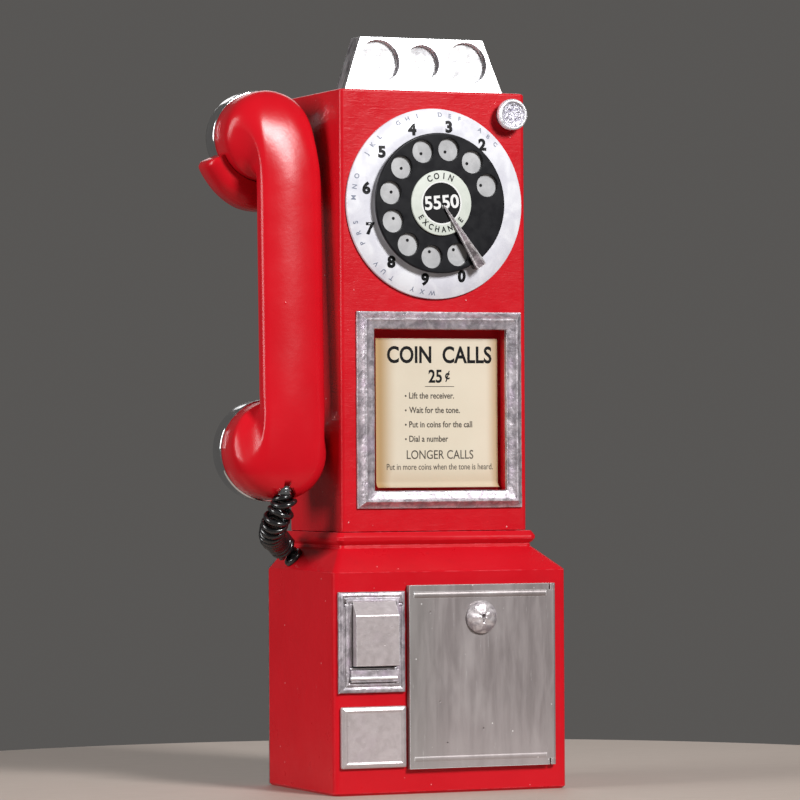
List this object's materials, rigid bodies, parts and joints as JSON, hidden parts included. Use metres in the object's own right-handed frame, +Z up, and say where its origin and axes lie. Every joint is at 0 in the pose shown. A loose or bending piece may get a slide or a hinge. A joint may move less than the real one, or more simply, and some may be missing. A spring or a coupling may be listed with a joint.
{
  "type": "payphone",
  "caption": "Standing or wall-mounted coin telephone: red two-stage casing, coin recesses on top, rotary dial, framed card, hinged vault door and a side-hung handset.",
  "frame": {"origin": "centre of the underside that the payphone stands on, midway between the lower casing's sides and between its front face and the backplate's rear face", "axes": "+Z up, -Y out of the front face with the dial, +X to the right as seen from the front, so the handset hangs on the -X side"},
  "size_m": [0.2123, 0.1213, 0.47],
  "materials": {
    "red_enamel": "gloss enamel",
    "red_handset": "gloss",
    "bright_trim": "polished",
    "satin_trim": "satin, lightly worn",
    "vault_steel": "brushed, lightly worn",
    "dial_white": "satin enamel",
    "black_gloss": "gloss",
    "black_rubber": "gloss",
    "dial_label": "printed card",
    "card_stock": "printed card",
    "bare_steel": "plain",
    "brass": "satin",
    "insulation": "moulded",
    "coil_wire": "lacquered copper windings"
  },
  "bodies": {
    "housing": {"vault_housing": "red_enamel", "upper_housing": "red_enamel", "coin_head": "bright_trim", "finger_stop": "bright_trim", "card_frame": "satin_trim", "return_bezel": "satin_trim", "return_tray": "satin_trim", "capacitor": "satin_trim", "door_pivot_upper": "vault_steel", "door_pivot_lower": "vault_steel", "access_plate": "vault_steel", "number_plate": "dial_white", "handset_cord": "black_rubber", "cord_grommet": "black_rubber", "instruction_card": "card_stock", "backplate": "bare_steel", "backplate_screw_1": "bare_steel", "backplate_screw_2": "bare_steel", "backplate_screw_3": "bare_steel", "backplate_screw_4": "bare_steel", "coin_chute": "bare_steel", "drop_chute": "bare_steel", "coin_diverter": "bare_steel", "cash_box": "bare_steel", "cash_box_handle": "bare_steel", "dial_case": "bare_steel", "plunger_bracket": "bare_steel", "plunger_spring": "bare_steel", "flap_pin": "bare_steel", "hook_bracket": "bare_steel", "hook_pin": "bare_steel", "coin_hopper": "brass", "gong_left": "brass", "gong_right": "brass", "hook_switch": "insulation", "network_block": "insulation", "terminal_block": "insulation", "coin_relay_coil": "coil_wire", "ringer_coils": "coil_wire"},
    "dial": {"finger_wheel": "black_gloss", "dial_shaft": "bare_steel", "dial_card": "dial_label", "drive_gear": "brass"},
    "governor": {"governor_rotor": "brass"},
    "plunger": {"return_plunger": "bright_trim"},
    "flap": {"return_flap": "satin_trim"},
    "door": {"vault_door": "vault_steel"},
    "lock": {"lock_cylinder": "bright_trim", "lock_cam": "bare_steel"},
    "hook": {"hook_cradle": "red_enamel", "hook_arm": "bare_steel"},
    "handset": {"handset_shell": "red_handset", "ear_cap": "bright_trim", "mouth_cap": "bright_trim", "receiver_capsule": "bare_steel", "transmitter_capsule": "bare_steel", "cord_ferrule": "bright_trim"},
    "vane": {"coin_vane": "brass"},
    "clapper": {"clapper": "bare_steel"}
  },
  "joints": [
    {"name": "dial_spin", "type": "hinge", "parent": "housing", "child": "dial", "pos_m": [0, -0.043, 0.3653], "axis": [0, 1, 0], "range_deg": [0, 330], "stiffness_Nm_per_rad": 0.02, "springref_deg": -45.84},
    {"name": "governor_spin", "type": "hinge", "parent": "housing", "child": "governor", "pos_m": [0.0255, -0.018, 0.3653], "axis": [0, 1, 0], "range_deg": [-1376, 0]},
    {"name": "plunger_push", "type": "slide", "parent": "housing", "child": "plunger", "axis": [0, 1, 0], "range_m": [0, 0.005], "stiffness_N_per_m": 300, "springref_m": -0.003, "deforming": ["plunger_spring"]},
    {"name": "flap_swing", "type": "hinge", "parent": "housing", "child": "flap", "pos_m": [-0.053, -0.0578, 0.117], "axis": [1, 0, 0], "range_deg": [0, 40], "stiffness_Nm_per_rad": 0.02, "springref_deg": -28.65},
    {"name": "door_swing", "type": "hinge", "parent": "housing", "child": "door", "pos_m": [0.0675, -0.0583, 0.072], "axis": [0, 0, 1], "range_deg": [0, 110]},
    {"name": "lock_turn", "type": "hinge", "parent": "door", "child": "lock", "pos_m": [0.0182, -0.0583, 0.1082], "axis": [0, 1, 0], "range_deg": [0, 90]},
    {"name": "handset_lift", "type": "slide", "parent": "housing", "child": "handset", "axis": [0, 0, 1], "range_m": [0, 0.08], "deforming": ["handset_cord"]},
    {"name": "hook_swing", "type": "hinge", "parent": "housing", "child": "hook", "pos_m": [-0.048, 0.022, 0.376], "axis": [0, 1, 0], "range_deg": [0, 12]},
    {"name": "vane_tip", "type": "hinge", "parent": "housing", "child": "vane", "pos_m": [0, 0.011, 0.1415], "axis": [0, 1, 0], "range_deg": [0, 64], "stiffness_Nm_per_rad": 0.002, "springref_deg": -17.19},
    {"name": "clapper_swing", "type": "hinge", "parent": "housing", "child": "clapper", "pos_m": [0, 0.029, 0.188], "axis": [0, 1, 0], "range_deg": [-12, 12], "stiffness_Nm_per_rad": 0.01}
  ],
  "couplings": [
    {"joint": "governor_spin", "follows": "dial_spin", "ratio": -4.1667},
    {"joint": "hook_swing", "follows": "handset_lift", "rad_per_m": 2.5}
  ]
}
